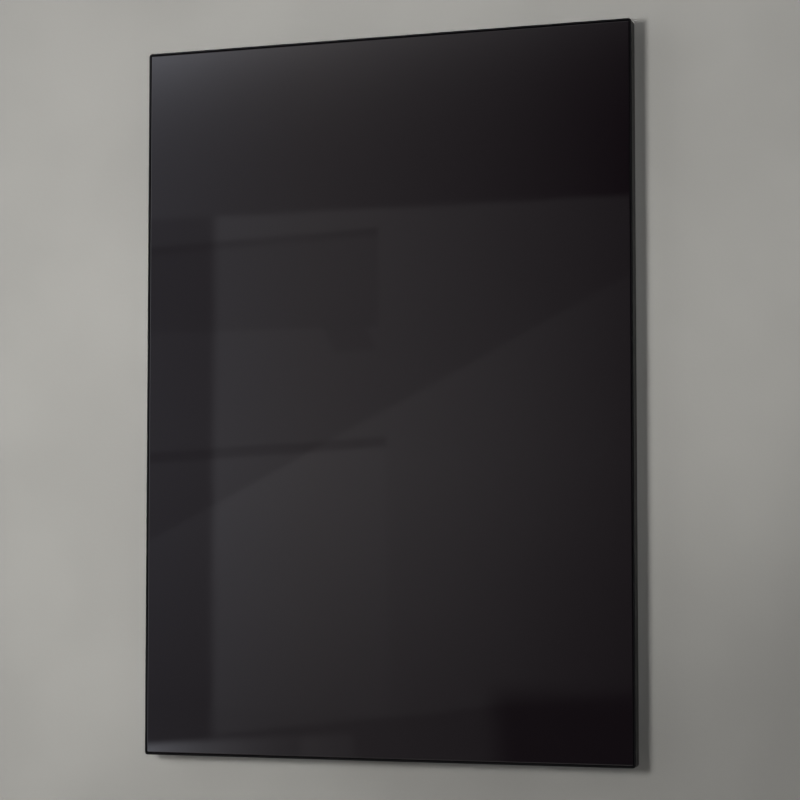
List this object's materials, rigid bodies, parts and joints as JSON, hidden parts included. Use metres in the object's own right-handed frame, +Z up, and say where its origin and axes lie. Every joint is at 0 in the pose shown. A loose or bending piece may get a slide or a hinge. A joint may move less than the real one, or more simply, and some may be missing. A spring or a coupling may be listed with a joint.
{
  "type": "infrared panel heater",
  "caption": "Slim black glass infrared panel heater in a thin black frame, hooked on a steel wall bracket with a wired connection box behind.",
  "frame": {"origin": "on the wall plane, behind the middle of the panel", "axes": "+X to the viewer's right along the panel's width, +Y into the wall, +Z up"},
  "size_m": [0.63, 0.04, 0.9],
  "materials": {
    "black_glass": "polished black back-printed glass with ground edges",
    "black_coat": "satin black powder coat",
    "zinc_steel": "galvanised sheet",
    "bright_screw": "zinc-plated fasteners",
    "black_rubber": "matt",
    "box_plastic": "fine moulded texture",
    "switch_plastic": "glossy moulding",
    "white_ceramic": "unglazed steatite",
    "mica": "pressed mica sheet",
    "track_foil": "resistance foil",
    "aluminium_foil": "bright foil",
    "fibre_board": "pressed mineral fibre",
    "cast_zinc": "die-cast zinc",
    "silicone_brown": "silicone sleeve",
    "silicone_blue": "silicone sleeve",
    "silicone_green": "silicone sleeve"
  },
  "bodies": {
    "wall_bracket": {"wall_spine": "zinc_steel", "wall_rail_upper": "zinc_steel", "wall_rail_lower": "zinc_steel"},
    "panel": {"glass_pane": "black_glass", "frame_rail_top": "black_coat", "frame_rail_bottom": "black_coat", "frame_rail_left": "black_coat", "frame_rail_right": "black_coat", "corner_key_top_left": "cast_zinc", "corner_key_top_right": "cast_zinc", "corner_key_bottom_left": "cast_zinc", "corner_key_bottom_right": "cast_zinc", "bond_tape_top": "black_rubber", "bond_tape_bottom": "black_rubber", "bond_tape_left": "black_rubber", "bond_tape_right": "black_rubber", "film_carrier": "mica", "heating_track": "track_foil", "film_cover": "mica", "reflector_foil": "aluminium_foil", "insulation_board": "fibre_board", "back_plate": "zinc_steel", "plate_screw_1": "bright_screw", "plate_screw_2": "bright_screw", "plate_screw_3": "bright_screw", "plate_screw_4": "bright_screw", "plate_screw_5": "bright_screw", "plate_screw_6": "bright_screw", "hanger_upper": "zinc_steel", "hanger_lower": "zinc_steel", "hanger_rivet_1": "bright_screw", "hanger_rivet_2": "bright_screw", "hanger_rivet_3": "bright_screw", "hanger_rivet_4": "bright_screw", "wall_bumper_left": "black_rubber", "wall_bumper_right": "black_rubber", "box_base": "box_plastic", "box_lid": "box_plastic", "lid_screw_1": "bright_screw", "lid_screw_2": "bright_screw", "box_screw_1": "bright_screw", "box_screw_2": "bright_screw", "gland_body": "box_plastic", "gland_nut": "box_plastic", "gland_seal": "black_rubber", "gland_locknut": "box_plastic", "switch_housing": "switch_plastic", "terminal_block": "white_ceramic", "thermal_cutout_left": "white_ceramic", "thermal_cutout_right": "white_ceramic", "earth_nut": "bright_screw", "earth_stud": "bright_screw", "lead_neutral": "silicone_blue", "lead_live": "silicone_brown", "lead_switched": "silicone_brown", "lead_link": "silicone_brown", "lead_track": "silicone_brown", "lead_earth": "silicone_green"},
    "rocker": {"switch_rocker": "switch_plastic"}
  },
  "joints": [
    {"name": "panel_lift", "type": "slide", "parent": "wall_bracket", "child": "panel", "axis": [0, 0, 1], "range_m": [0, 0.013]},
    {"name": "switch_rocker", "type": "hinge", "parent": "panel", "child": "rocker", "pos_m": [0.034, -0.0105, -0.4356], "axis": [0, -1, 0], "range_deg": [0, 20]}
  ]
}
